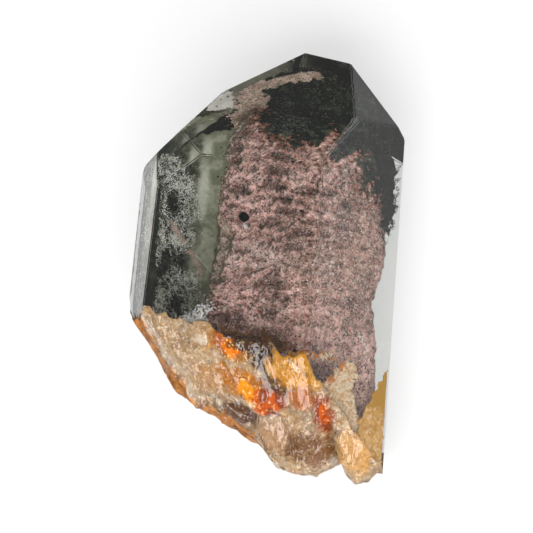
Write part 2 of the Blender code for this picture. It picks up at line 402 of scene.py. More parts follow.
def make_quartz(material):
    """The clear crystal, cut off at the broken surface. The broken faces carry broken = 1."""
    solid = new_object("quartz", crystal(), material)
    cutter_data = sheet_over(fine_break, BREAK_STEP)
    bmesh.ops.triangulate(cutter_data, faces=cutter_data.faces)
    draw_to_a_block(cutter_data, CUTTER_END * MM)
    cutter = new_object("cutter", cutter_data, bpy.data.materials.new("cut_marker"))
    modifier = solid.modifiers.new("break", "BOOLEAN")
    modifier.solver = "EXACT"
    modifier.material_mode = "TRANSFER"
    modifier.object = cutter
    cut = bpy.data.meshes.new_from_object(solid.evaluated_get(bpy.context.evaluated_depsgraph_get()))
    solid.modifiers.clear()
    solid.data = cut
    bpy.data.objects.remove(cutter, do_unlink=True)
    broken = cut.attributes.new("broken", "FLOAT", "FACE")
    for face, value in zip(cut.polygons, broken.data):
        value.value = float(face.material_index > 0)
        face.use_smooth = face.material_index > 0
        face.material_index = 0
    cut.materials.clear()
    cut.materials.append(material)
    cut.set_sharp_from_angle(angle=math.radians(SHARP_CHIP))
    return solid


def rim_crest(x):
    """The height of the crest above the rusty rim."""
    return max(1.0, 9.6 - 1.34 * (x + 14.6))


def rim_share(x, z):
    """1 where rust covers the break: below the left crest and on the far side, 0 elsewhere."""
    crest = rim_crest(x)
    ragged = 1.2 * waves(x, z, 60.0, 1.6)
    wide = 2.5 * waves(x, z, 66.0, 2.4)
    left = smooth((2.0 - x + 2.0 * ragged + wide) / 4.0) * smooth((crest - z + ragged) / 0.7)
    far_side = smooth((-5.0 - z + 2.0 * ragged + wide) / 3.0)
    return max(left, 0.7 * far_side)


def crest_share(x, z):
    """1 along the pale crest above the rim, 0 elsewhere."""
    above = z - rim_crest(x) - 0.3 - 0.7 * waves(x, z, 65.0, 1.3)
    return smooth(1.4 - abs(above) / 0.5) * smooth((-4.0 - x) / 2.0)


def crust_height(x, z):
    """Mostly a little inside the broken surface, so it is seen through chipped quartz; rust lies outside."""
    cover = rim_share(x, z)
    for centre_x, centre_z, half_x, half_z in CRUSTED.values():
        reach = math.hypot((x - centre_x) / half_x, (z - centre_z) / half_z)
        reach += 0.45 * waves(x, z, 70.0, 1.1)
        reach += 0.25 * waves(x, z, 71.0, 0.4)
        cover = max(cover, smooth((1.0 - reach) / 0.5))
    wander = 0.6 * waves(x, z, 80.0, 1.6) - 0.12 * cover * ridges(x, z, 85.0, 0.6)
    return chipped_break(x, z) + 0.75 * (1.0 - cover) - 0.12 * cover + wander * (1.0 - 0.8 * cover)


def make_crust(material):
    """The stained layer of the broken end."""
    data = sheet_over(crust_height, CRUST_STEP)
    outside = [v for v in data.verts if inside_by(Vector(v.co) / MM + ORIGIN) < 0.06]
    bmesh.ops.delete(data, geom=outside, context="VERTS")
    crust = new_object("stained_layer", data, material)
    for face in crust.data.polygons:
        face.use_smooth = True
    set_values(crust, "rust", lambda point: rim_share(point.x, point.z))
    set_values(crust, "crest", lambda point: crest_share(point.x, point.z))
    skin = crust.modifiers.new("skin", "SOLIDIFY")
    skin.thickness = 0.1 * MM
    skin.offset = 0.0
    return crust


def pillow(stations, top_at, bottom_at, across_steps, along_steps):
    """A closed body over the stations' outline, with its own surface above and below."""
    first, last = stations[0][0], stations[-1][0]
    data = bmesh.new()
    for height_at in (top_at, bottom_at):
        made = bmesh.ops.create_grid(data, x_segments=across_steps, y_segments=along_steps, size=1.0)
        for vertex in made["verts"]:
            across, endwise = vertex.co.x, vertex.co.y
            y = first + (last - first) * (endwise + 1.0) / 2.0
            left, right, height = station_at(stations, y)
            frayed = 0.45 * waves(3.3 * across, y, 0.0, 1.1) * abs(across) ** 3
            x = left + (right - left) * (across + 1.0) / 2.0
            vertex.co = to_row((x + frayed, y, height_at(x, y, left, right, height)))
    bmesh.ops.bridge_loops(data, edges=[edge for edge in data.edges if edge.is_boundary])
    bmesh.ops.recalc_face_normals(data, faces=data.faces)
    return data


def garden_lumps(x, y):
    """Ledges, knobs and grains of the garden, in mm."""
    ledges = 0.75 * ridges(x / 4.6, y / 1.7, 3.0, 1.0)
    knobs = 0.42 * ridges(x, y, 7.0, 1.4)
    lumps = 0.26 * ridges(x, y, 12.0, 0.65)
    return ledges + knobs + lumps + 0.17 * ridges(x, y, 19.0, 0.3)


def garden_cracks(x, y):
    """1 in the narrow dark cracks between knobs, more of them toward the tip."""
    many = 0.23 + 0.17 * smooth((y - 5.5) / 3.0) * smooth((14.0 - y) / 2.0)
    long = smooth((abs(waves(x / 2.2, y / 0.9, 3.0, 1.0)) - 0.62 + many) / 0.12)
    short = smooth((abs(waves(x, y, 7.0, 0.5)) - 0.62 + many) / 0.12)
    return max(long * short, 0.6 * short)


def garden_top(x, y, left, right, height):
    """The garden's upper surface, with a steep right flank, a ledge left of the crest and a small hole."""
    crest = along(GARDEN_CREST, y)
    if x < crest:
        share = max((x - left) / (crest - left), 0.0)
        flank = 0.5 * math.sin(math.pi / 2.0 * min(share / 0.35, 1.0)) + 0.5 * smooth((share - 0.66) / 0.34)
    else:
        flank = math.sin(math.pi / 2.0 * min((right - x) / (right - left) / GARDEN_RIGHT_FLANK, 1.0))
    ends = min((y - GARDEN_STATIONS[0][0]) / 2.0, (GARDEN_STATIONS[-1][0] - y) / 1.2, 1.0)
    rise = max(flank, 0.0) * math.sin(math.pi / 2.0 * max(ends, 0.0))
    hole = 2.6 * smooth(1.25 - math.hypot(x - GARDEN_HOLE[0], y - GARDEN_HOLE[1]) / 0.62)
    lumps = garden_lumps(x, y) * (0.25 + 0.75 * rise)
    return PARTING_Z + 0.15 + GARDEN_SIDE + (height - GARDEN_SIDE) * rise + lumps - hole


def garden_bottom(x, y, left, right, height):
    """The garden's flat underside, on the bed."""
    return PARTING_Z + 0.1 + 0.06 * waves(x, y, 0.0, 1.0)


def bed_top(x, y, left, right, thickness):
    """The bed's upper surface, which the garden lies on."""
    return PARTING_Z - 0.05 + 0.25 * ridges(x, y, 4.0, 0.9)


def bed_bottom(x, y, left, right, thickness):
    """The bed's mossy underside."""
    ripple = 0.5 * waves(x, y, 5.0, 3.0) + 0.4 * ridges(x, y, 6.0, 1.1)
    return PARTING_Z - 0.15 - thickness + ripple


def roughen(data, layers):
    """Pushes each point along its normal by layers of noise, each a (size, depth) in mm."""
    data.normal_update()
    moved = []
    for vertex in data.verts:
        point = vertex.co / MM
        push = sum(depth * noise.noise(point / size + Vector((0, 0, 11.0))) for size, depth in layers)
        moved.append(vertex.co + vertex.normal * push * MM)
    for vertex, place in zip(data.verts, moved):
        vertex.co = place


def set_values(obj, name, value_at):
    """Stores a number for each point of a mesh, for its material to use."""
    values = obj.data.attributes.new(name, "FLOAT", "POINT").data
    for vertex, value in zip(obj.data.vertices, values):
        value.value = value_at(Vector(vertex.co) / MM + ORIGIN)


def left_of_crest(point):
    """1 on the lower ledge left of the garden's crest, 0 right of it."""
    return smooth((along(GARDEN_CREST, point.y) - point.x) / 0.8 + 0.3)


def make_garden(material):
    """The pink mineral mass, with its relief and cracks stored for the material."""
    data = pillow(GARDEN_STATIONS, garden_top, garden_bottom, 150, 270)
    roughen(data, ((1.1, 0.3), (0.5, 0.18), (0.28, 0.1)))
    garden = new_object("garden_fine", data, material)
    garden.data.shade_smooth()
    set_values(garden, "relief", lambda point: garden_lumps(point.x, point.y))
    set_values(garden, "crack", lambda point: garden_cracks(point.x, point.y))
    set_values(garden, "left_of_crest", left_of_crest)
    return garden


def make_bed(material):
    """The dark moss under the garden."""
    data = pillow(BED_STATIONS, bed_top, bed_bottom, 110, 130)
    roughen(data, ((0.8, 0.3), (0.35, 0.14)))
    bed = new_object("chlorite_moss", data, material)
    bed.data.shade_smooth()
    return bed


def back_z(x, y, inset, level=-20.0):
    """The height of the back faces over x, y, moved inward by inset, or level where that is higher."""
    return max(level, *(face_z(name, x, y, inset) for name in BACK_FACES))


def phantom_z(x, y):
    """Level with the parting, then rising along the back faces inside them."""
    ripple = 0.2 * ridges(x, y, 2.0, 1.3) + 0.1 * ridges(x, y, 5.0, 0.5)
    return back_z(x, y, 1.0, PARTING_Z) + ripple


def left_z(x, y):
    """A little above the older growth surface."""
    return phantom_z(x, y) + 0.3


def cream_z(x, y):
    """1.1 mm behind the right front face."""
    return face_z("right_front", x, y, 1.1) + 0.3 * ridges(x, y, 8.0, 1.5)


def film_z(x, y):
    """0.6 mm behind the right front face."""
    return face_z("right_front", x, y, 0.6) + 0.15 * waves(x, y, 5.0, 1.2)


def inside_outline(outline, x, y):
    """How far the point is inside the outline; negative outside."""
    away = min(distance_to_line(x, y, *pair) for pair in zip(outline, outline[1:] + outline[:1]))
    crossings = 0
    for (x0, y0), (x1, y1) in zip(outline, outline[1:] + outline[:1]):
        if (y0 > y) != (y1 > y) and x < x0 + (x1 - x0) * (y - y0) / (y1 - y0):
            crossings += 1
    return away if crossings % 2 else -away


def pink_share(point):
    """Pink dust runs up the left of the older surface and round under its top edge."""
    depth = inside_outline(PHANTOM_OUTLINE, point.x, point.y)
    ragged = 1.3 * waves(point.x, point.y, 0.0, 2.2)
    ragged += 1.1 * waves(point.x, point.y, 4.0, 0.8)
    left = smooth((-1.5 + ragged - point.x) / 1.0)
    band = smooth((along(PINK_BAND, point.x) + 0.8 * ragged - depth) / 1.3) * smooth((depth - 0.5) / 0.7)
    band *= smooth((6.6 - point.x) / 1.6) * smooth((point.y - 20.0) / 2.0)
    return max(left, band)


def make_sheet(name, outline, z_at, step, ragged, material):
    """A thin sheet inside the crystal over an outline drawn as x, y, with frayed edges."""
    low_x, high_x = min(x for x, y in outline) - 0.3, max(x for x, y in outline) + 0.3
    low_y, high_y = min(y for x, y in outline) - 0.3, max(y for x, y in outline) + 0.3
    data = bmesh.new()
    steps = round((high_x - low_x) / step), round((high_y - low_y) / step)
    bmesh.ops.create_grid(data, x_segments=steps[0], y_segments=steps[1], size=1.0)
    away = []
    for vertex in data.verts:
        x = low_x + (high_x - low_x) * (vertex.co.x + 1.0) / 2.0
        y = low_y + (high_y - low_y) * (vertex.co.y + 1.0) / 2.0
        point = Vector((x, y, z_at(x, y)))
        frayed = waves(x, y, 6.0, 0.7) + 0.6 * waves(x, y, 7.0, 0.25)
        vertex.co = to_row(point)
        in_break = y < chipped_break(x, point.z) + 0.6
        if inside_outline(outline, x, y) < ragged * frayed or inside_by(point) < 0.25 or in_break:
            away.append(vertex)
    bmesh.ops.delete(data, geom=away, context="VERTS")
    sheet = new_object(name, data, material)
    sheet.data.shade_smooth()
    skin = sheet.modifiers.new("skin", "SOLIDIFY")
    skin.thickness = 0.12 * MM
    return sheet


class Grains:
    """Many small uneven grains gathered into one mesh."""

    CORNERS = ((1, 0, 0), (-1, 0, 0), (0, 1, 0), (0, -1, 0), (0, 0, 1), (0, 0, -1))
    SIDES = ((0, 2, 4), (2, 1, 4), (1, 3, 4), (3, 0, 4), (2, 0, 5), (1, 2, 5), (3, 1, 5), (0, 3, 5))

    def __init__(self, seed):
        self.dice = random.Random(seed)
        self.points, self.faces = [], []

    def add(self, centre, size):
        """One grain, unless it would reach the crystal's faces."""
        if inside_by(centre) < size * 1.3 + 0.2:
            return
        first = len(self.points)
        axis = Vector((self.dice.uniform(-1, 1), self.dice.uniform(-1, 1), 1.0))
        spin = Matrix.Rotation(self.dice.uniform(0.0, math.pi), 3, axis)
        for corner in self.CORNERS:
            offset = spin @ (Vector(corner) * self.dice.uniform(0.6, 1.3) * size)
            self.points.append(to_row(centre + offset))
        self.faces += [[first + index for index in side] for side in self.SIDES]

    def cloud(self, centre, spread, count, size):
        """Grains gathered round a point."""
        for _ in range(count):
            offset = Vector([self.dice.gauss(0, spread) for _ in range(3)])
            self.add(centre + offset, size * self.dice.uniform(0.5, 1.5))

    def finish(self, name, material):
        mesh = bpy.data.meshes.new(name)
        mesh.from_pydata(self.points, [], self.faces)
        return link_mesh(name, mesh, material)


def make_tufts(material):
    """Mossy tufts of chlorite that grow out of the garden's right edge, and a few specks near the tip."""
    grains = Grains(5)
    dice = grains.dice
    for _ in range(90):
        y = dice.uniform(6.2, 16.4)
        reach = 1.1 + 1.2 * waves(y, 0.0, 0.0, 1.1)
        place = Vector((along(TUFT_LINE, y), y, dice.uniform(-5.7, -3.2)))
        heading = Vector((1.0, dice.uniform(-0.9, 0.9), dice.uniform(-0.1, 0.6))).normalized()
        for _ in range(dice.randint(6, 14)):
            place = place + heading * 0.22 * reach
            grains.cloud(place, 0.16, 9, 0.08)
    for place in DARK_SPECKS:
        grains.cloud(Vector(place), 0.07, 7, 0.09)
    return grains.finish("chlorite_tufts", material)


def make_veil(material):
    """Pale dust in the clear left part: thin leaning veils, dense along their folds."""
    grains = Grains(11)
    dice = grains.dice
    for _ in range(80000):
        x, y = dice.uniform(-14.5, -8.6), dice.uniform(-8.5, 13.5)
        layer = dice.randrange(3)
        fold = Vector(((x + 0.5 * y) / 1.3, (y - 0.5 * x) / 3.0, 7.0 * layer))
        swirl = Vector([waves(x, y, start + layer, 2.2) for start in (60.0, 160.0, 260.0)])
        ridge = smooth((0.22 - abs(noise.noise(fold + 0.9 * swirl))) / 0.2)
        patch = waves(x, y, 20.0 + 5.0 * layer, 2.6) + 0.05 * (-10.0 - x)
        dense = smooth(0.05 + 2.4 * patch) * (0.2 + 0.8 * ridge)
        if dice.random() < dense:
            z = -3.0 + 3.2 * layer + 0.25 * (x + 12.0) + 0.8 * waves(x, y, 40.0 + layer, 2.0)
            grains.add(Vector((x, y, z + dice.gauss(0.0, 0.12))), dice.choice((0.02, 0.03, 0.04, 0.07)))
    return grains.finish("veil_of_dust", material)


def make_milk(material):
    """A thin milky cloud just inside the left back tip face, which also paints the pale reflection seen
    there.
    """
    grains = Grains(13)
    dice = grains.dice
    for _ in range(9000):
        x, y = dice.uniform(-9.8, -5.6), dice.uniform(19.6, 24.6)
        if inside_outline(MILKY_OUTLINE, x, y) > 0.5 * waves(x, y, 0.0, 0.6):
            grains.add(Vector((x, y, back_z(x, y, 0.5) + dice.gauss(0.0, 0.1))), dice.uniform(0.05, 0.12))
    return grains.finish("milky_veil_and_painted_reflection", material)


def make_wisps(material):
    """Pink strands over the left clear part, and dust round the older growth surface."""
    grains = Grains(17)
    dice = grains.dice
    for start, end in PINK_STRANDS:
        for _ in range(130):
            place = Vector(start).lerp(Vector(end), dice.random())
            grains.cloud(place, 0.2, 5, 0.05)
    for _ in range(2200):
        x, y = dice.uniform(-8.0, 9.0), dice.uniform(14.0, 30.0)
        depth = inside_outline(PHANTOM_OUTLINE, x, y)
        if -0.9 < depth < 0.6 and dice.random() < 0.8 - abs(depth):
            grains.add(Vector((x, y, phantom_z(x, y) + dice.uniform(-0.1, 0.4))), dice.uniform(0.03, 0.07))
    return grains.finish("pink_wisps", material)


def make_flakes(name, seed, strands, material):
    """Small flakes strewn along lines: start, end, how many, how far off the line, and their size."""
    grains = Grains(seed)
    dice = grains.dice
    for start, end, count, spread, size in strands:
        for _ in range(count):
            place = Vector(start).lerp(Vector(end), dice.random())
            place += Vector([dice.gauss(0, spread) for _ in range(3)])
            grains.add(place, size * dice.uniform(0.4, 1.6))
    return grains.finish(name, material)


class Paint:
    """Builds one material's nodes. Positions are in mm in the crystal's frame."""

    def __init__(self, name, roughness, specular=0.1):
        self.material = bpy.data.materials.new(name)
        self.material.use_nodes = True
        self.tree = self.material.node_tree
        self.shader = self.tree.nodes["Principled BSDF"]
        self.shader.inputs["Roughness"].default_value = roughness
        self.shader.inputs["Specular IOR Level"].default_value = specular
        coordinates = self.tree.nodes.new("ShaderNodeTexCoord")
        scaled = self.vector("SCALE", coordinates.outputs["Object"])
        scaled.node.inputs["Scale"].default_value = 1.0 / MM
        self.place = self.vector("ADD", scaled, ORIGIN)

    def feed(self, socket, value):
        """Links or sets a socket."""
        if isinstance(value, bpy.types.NodeSocket):
            self.tree.links.new(value, socket)
        else:
            socket.default_value = value

    def vector(self, operation, first, second=None):
        node = self.tree.nodes.new("ShaderNodeVectorMath")
        node.operation = operation
        self.feed(node.inputs[0], first)
        if second is not None:
            self.feed(node.inputs[1], second)
        return node.outputs["Value" if operation in ("LENGTH", "DOT_PRODUCT") else "Vector"]

    def math(self, operation, first, second=0.0):
        node = self.tree.nodes.new("ShaderNodeMath")
        node.operation = operation
        self.feed(node.inputs[0], first)
        self.feed(node.inputs[1], second)
        return node.outputs[0]

    def attribute(self, name):
        """A number stored with the mesh."""
        node = self.tree.nodes.new("ShaderNodeAttribute")
        node.attribute_name = name
        return node.outputs["Fac"]

    def part(self, axis):
        """The place along one axis."""
        node = self.tree.nodes.new("ShaderNodeSeparateXYZ")
        self.feed(node.inputs[0], self.place)
        return node.outputs[axis]

    def facing(self, axis):
        """The part of the surface's normal along an axis."""
        geometry = self.tree.nodes.new("ShaderNodeNewGeometry")
        return self.vector("DOT_PRODUCT", geometry.outputs["Normal"], Vector(axis))

    def noise(self, size, detail=3.0, roughness=0.55, distortion=0.0):
        node = self.tree.nodes.new("ShaderNodeTexNoise")
        self.feed(node.inputs["Vector"], self.place)
        node.inputs["Scale"].default_value = 1.0 / size
        node.inputs["Detail"].default_value = detail
        node.inputs["Roughness"].default_value = roughness
        node.inputs["Distortion"].default_value = distortion
        return node.outputs["Fac"]

    def swing(self, reach, *noise):
        """Noise about zero, over a span of reach."""
        return self.math("MULTIPLY", self.math("SUBTRACT", self.noise(*noise), 0.5), reach)

    def veins(self, *noise):
        """0 along winding lines, growing away from them."""
        return self.math("ABSOLUTE", self.swing(1.0, *noise))

    def grains(self, size):
        """A number of its own, from 0 to 1, for each small angular grain."""
        node = self.tree.nodes.new("ShaderNodeTexVoronoi")
        self.feed(node.inputs["Vector"], self.place)
        node.inputs["Scale"].default_value = 1.0 / size
        parts = self.tree.nodes.new("ShaderNodeSeparateColor")
        self.feed(parts.inputs[0], node.outputs["Color"])
        return parts.outputs[0]

    def steps(self, value, low, high):
        """0 at low and 1 at high, which may be the smaller of the two."""
        node = self.tree.nodes.new("ShaderNodeMapRange")
        node.interpolation_type = "SMOOTHSTEP"
        self.feed(node.inputs["Value"], value)
        node.inputs["From Min"].default_value = low
        node.inputs["From Max"].default_value = high
        return node.outputs["Result"]

    def patches(self, low, high, *noise):
        """Patches of 1 where noise is above high, 0 where it is below low."""
        return self.steps(self.noise(*noise), low, high)

    def near(self, centre, radii, soft=0.2, ragged=1.1):
        """1 in an egg-shaped zone round centre, 0 outside, with a ragged border."""
        away = self.vector("DIVIDE", self.vector("SUBTRACT", self.place, Vector(centre)), Vector(radii))
        reach = self.math("ADD", self.vector("LENGTH", away), self.swing(2.0 * ragged, 1.3, 8.0, 0.75))
        return self.math("SUBTRACT", 1.0, self.steps(reach, 1.0 - soft, 1.0 + soft))

    def mix(self, share, first, second, blend="MIX"):
        node = self.tree.nodes.new("ShaderNodeMix")
        node.data_type = "RGBA"
        node.blend_type = blend
        self.feed(node.inputs[0], share)
        for socket, value in ((node.inputs[6], first), (node.inputs[7], second)):
            self.feed(socket, value if isinstance(value, bpy.types.NodeSocket) else (*value, 1.0))
        return node.outputs[2]

    def over(self, tone, share, colour, strength=1.0, blend="MIX"):
        """The tone with a colour laid over it where share is 1."""
        if strength < 1.0:
            share = self.math("MULTIPLY", share, strength)
        return self.mix(share, tone, colour, blend)

    def bump(self, height, strength, distance):
        """Fine relief, with its depth in mm."""
        node = self.tree.nodes.new("ShaderNodeBump")
        node.inputs["Strength"].default_value = strength
        node.inputs["Distance"].default_value = distance * MM
        self.feed(node.inputs["Height"], height)
        self.feed(self.shader.inputs["Normal"], node.outputs["Normal"])

    def colour(self, value):
        self.feed(self.shader.inputs["Base Color"], value)


def quartz_material():
    """Clear quartz, a little smoky in depth and slightly rough where it is broken."""
    paint = Paint("quartz_clear", 0.0, 0.5)
    shader = paint.shader
    shader.inputs["Base Color"].default_value = (0.985, 0.99, 0.98, 1.0)
    shader.inputs["Transmission Weight"].default_value = 1.0
    shader.inputs["IOR"].default_value = 1.544
    broken = paint.attribute("broken")
    paint.feed(shader.inputs["Roughness"], paint.math("MULTIPLY", broken, 0.05))
    paint.bump(paint.math("MULTIPLY", paint.noise(0.5, 3.0), broken), 0.12, 0.1)
    haze = paint.tree.nodes.new("ShaderNodeVolumeAbsorption")
    haze.inputs["Color"].default_value = (0.80, 0.86, 0.76, 1.0)
    haze.inputs["Density"].default_value = 22.0
    output = paint.tree.nodes["Material Output"]
    paint.tree.links.new(haze.outputs["Volume"], output.inputs["Volume"])
    return paint.material


# Stains of the broken end, and one painted shadow under the front face: centre, half widths and colour
STAINS_AND_PAINTED_SHADOW = {
    "low cream": ((-4.0, -16.5, 5.0), (4.5, 3.0, 2.6), (0.66, 0.40, 0.18)),
    "amber round the spot": ((-1.0, -11.4, 10.0), (4.8, 2.8, 2.6), (0.62, 0.29, 0.03)),
    "amber spot": ((-1.8, -11.2, 10.0), (2.6, 2.1, 2.2), (0.60, 0.15, 0.002)),
    # Painted shadow: dark brown under the front face's lower edge, where shade falls
    "painted shadow under the front face": ((1.4, -11.4, 10.4), (3.6, 1.2, 0.9), (0.10, 0.035, 0.004)),
    "white flake": ((-6.3, -11.2, 9.6), (1.2, 1.0, 1.1), (0.96, 0.88, 0.76)),
    "brown hollow": ((4.0, -12.8, 8.8), (3.0, 2.6, 2.0), (0.045, 0.013, 0.001)),
    "grey facets": ((4.8, -16.2, 7.2), (2.8, 2.3, 1.9), (0.15, 0.075, 0.030)),
    "yellow patch": ((-1.4, -17.0, 6.3), (4.4, 3.0, 2.3), (0.66, 0.25, 0.008)),
    "red orange": ((3.3, -19.0, 5.8), (2.5, 2.6, 2.6), (0.40, 0.070, 0.004)),
    "brown under the block": ((-2.0, -20.8, 1.8), (4.0, 2.2, 2.2), (0.15, 0.05, 0.010)),
    "flake block": ((3.2, -24.0, 2.0), (2.8, 2.8, 2.4), (0.66, 0.42, 0.24)),
    "tan lobe": ((8.0, -25.6, 0.8), (3.6, 3.4, 4.0), (0.30, 0.13, 0.035)),
    "amber": ((7.8, -14.4, 9.2), (4.2, 3.4, 3.0), (0.84, 0.42, 0.02)),
    "orange knob": ((8.3, -18.6, 6.9), (2.0, 2.0, 1.8), (0.62, 0.20, 0.015)),
    "red streak": ((11.0, -20.4, 5.0), (1.4, 4.0, 4.2), (0.42, 0.075, 0.004)),
    "right lobe": ((14.6, -25.4, 0.6), (2.6, 4.6, 4.0), (0.86, 0.52, 0.18)),
}


def crust_material():
    """Cream and amber under the chips, pale feathers, stain patches, painted highlights and a painted shadow,
    and rust where the mesh says so.
    """
    paint = Paint("stained_break", 0.42)
    cream, pale, clear = (0.64, 0.44, 0.23), (0.82, 0.68, 0.48), (0.44, 0.31, 0.17)
    tone = paint.mix(paint.patches(0.38, 0.60, 2.4, 5.0, 0.6, 0.4), clear, cream)
    tone = paint.over(tone, paint.patches(0.52, 0.64, 1.1, 5.0, 0.6, 0.6), pale)
    tone = paint.over(tone, paint.patches(0.55, 0.62, 1.8, 5.0, 0.7, 0.8), (0.56, 0.27, 0.06), 0.7)
    feathers = paint.steps(paint.veins(1.4, 6.0, 0.7, 1.6), 0.018, 0.003)
    tone = paint.over(tone, feathers, (0.92, 0.82, 0.68), 0.65)
    for centre, radii, colour in STAINS_AND_PAINTED_SHADOW.values():
        tone = paint.over(tone, paint.near(centre, radii), colour)
    shade = paint.patches(0.42, 0.60, 0.6, 8.0, 0.85, 0.6)
    tone = paint.over(tone, shade, (0.62, 0.40, 0.22), 0.6, "MULTIPLY")
    grain = paint.math("ADD", paint.grains(0.3), paint.swing(1.0, 1.2, 5.0, 0.8))
    tone = paint.over(tone, paint.steps(grain, 0.40, 0.10), (0.60, 0.42, 0.28), 0.4, "MULTIPLY")
    # Painted highlights: the brightest grain specks are laid over in pale amber
    tone = paint.over(tone, paint.steps(grain, 0.80, 0.95), (0.98, 0.76, 0.42), 0.35)
    brown, orange, ochre = (0.07, 0.024, 0.007), (0.44, 0.17, 0.036), (0.50, 0.30, 0.12)
    rust = paint.mix(paint.patches(0.36, 0.66, 1.6, 8.0, 0.8, 0.6), brown, orange)
    rust = paint.over(rust, paint.patches(0.52, 0.66, 0.9, 8.0, 0.8), ochre, 0.6)
    tone = paint.over(tone, paint.attribute("rust"), rust)
    tone = paint.over(tone, paint.attribute("crest"), (0.68, 0.57, 0.44), 0.8)
    tone = paint.over(tone, paint.patches(0.60, 0.66, 0.8, 6.0, 0.8, 1.2), (0.38, 0.12, 0.015), 0.7)
    tone = paint.over(tone, paint.patches(0.63, 0.69, 0.5, 6.0, 0.85, 0.8), (0.07, 0.025, 0.008), 0.8)
    paint.colour(tone)
    paint.bump(paint.noise(0.3, 4.0, 0.7), 0.5, 0.2)
    return paint.material


def garden_material():
    """Pink and tan grains, with painted shade in hollows, cracks, the hole, left-facing sides and the right
    part, and mossy zones toward the tip.
    """
    paint = Paint("garden_grains", 0.85, 0.0)
    tone = paint.mix(paint.patches(0.40, 0.58, 3.4, 5.0, 0.65), (0.44, 0.25, 0.21), (1.0, 0.62, 0.57))
    tone = paint.over(tone, paint.attribute("left_of_crest"), (0.54, 0.43, 0.31), 0.8)
    crest = paint.near((-0.5, 1.2, 4.0), (6.5, 1.6, 5.0), 0.4, 2.4)
    tone = paint.over(tone, crest, (1.0, 0.76, 0.71), 0.75)
    tone = paint.over(tone, paint.patches(0.53, 0.60, 1.8, 6.0, 0.8, 0.5), (0.20, 0.19, 0.12), 0.55)
    # Painted shade: the garden's right part is darkened and greyed
    right = paint.near((14.0, 3.0, 3.0), (8.0, 13.0, 9.0), 0.4, 1.4)
    tone = paint.over(tone, right, (0.53, 0.49, 0.41), 0.9, "MULTIPLY")
    # Painted shade: the garden is darkened where its relief is low, in the hollows between knobs
    hollows = paint.steps(paint.attribute("relief"), 0.55, 0.0)
    tone = paint.over(tone, hollows, (0.40, 0.33, 0.30), 0.75, "MULTIPLY")
    drift = paint.swing(1.1, 1.3, 6.0, 0.8)
    coarse = paint.math("ADD", paint.grains(0.22), drift)
    fine = paint.math("ADD", paint.grains(0.13), drift)
    tone = paint.over(tone, paint.steps(fine, 0.55, 0.65), (1.0, 0.80, 0.75), 0.3)
    tone = paint.over(tone, paint.steps(coarse, 0.86, 0.94), (1.0, 0.90, 0.86), 0.6)
    tone = paint.over(tone, paint.steps(fine, 0.30, 0.20), (0.20, 0.13, 0.10), 0.45)
    tone = paint.over(tone, paint.steps(coarse, 0.16, 0.10), (0.03, 0.03, 0.02), 0.85)
    tone = paint.over(tone, paint.steps(paint.grains(0.2), 0.88, 0.92), (0.46, 0.10, 0.07), 0.6)
    # Painted shade: the narrow cracks between knobs are painted near black; the mesh has no cracks
    cracks = paint.math("MULTIPLY", paint.attribute("crack"), paint.patches(0.38, 0.52, 0.3, 4.0, 0.8))
    tone = paint.over(tone, cracks, (0.015, 0.014, 0.012))
    # Painted shade: sides that face left are painted dark olive
    left_facing_painted_shade = paint.steps(paint.facing((-0.9, 0.45, 0.0)), 0.45, 0.75)
    tone = paint.over(tone, left_facing_painted_shade, (0.14, 0.145, 0.10), 0.85)
    # Painted shade: the pit is painted near black inside
    hole = paint.near((*GARDEN_HOLE, 3.0), (0.75, 0.75, 6.0), 0.15, 0.2)
    tone = paint.over(tone, hole, (0.01, 0.015, 0.01))
    mossy = paint.near((5.0, 20.4, 0.0), (8.0, 5.3, 9.0), 0.25, 1.0)
    mossy = paint.math("MAXIMUM", mossy, paint.near((13.2, 15.8, 0.0), (3.2, 5.4, 9.0), 0.25, 1.4))
    fringe = paint.math("MULTIPLY", paint.steps(mossy, 0.02, 0.3), paint.steps(fine, 0.45, 0.55))
    tone = paint.over(tone, fringe, (0.60, 0.17, 0.07))
    moss = paint.mix(paint.patches(0.46, 0.66, 1.6, 5.0, 0.7), (0.008, 0.012, 0.007), (0.10, 0.115, 0.075))
    tone = paint.over(tone, paint.steps(mossy, 0.3, 0.6), moss)
    specks = paint.math("MULTIPLY", mossy, paint.near((2.6, 17.8, 0.0), (3.0, 1.1, 9.0), 0.5, 1.0))
    specks = paint.math("MULTIPLY", specks, paint.patches(0.56, 0.62, 0.3, 5.0, 0.8))
    tone = paint.over(tone, specks, (0.50, 0.58, 0.58))
    paint.colour(tone)
    paint.bump(coarse, 0.5, 0.1)
    return paint.material


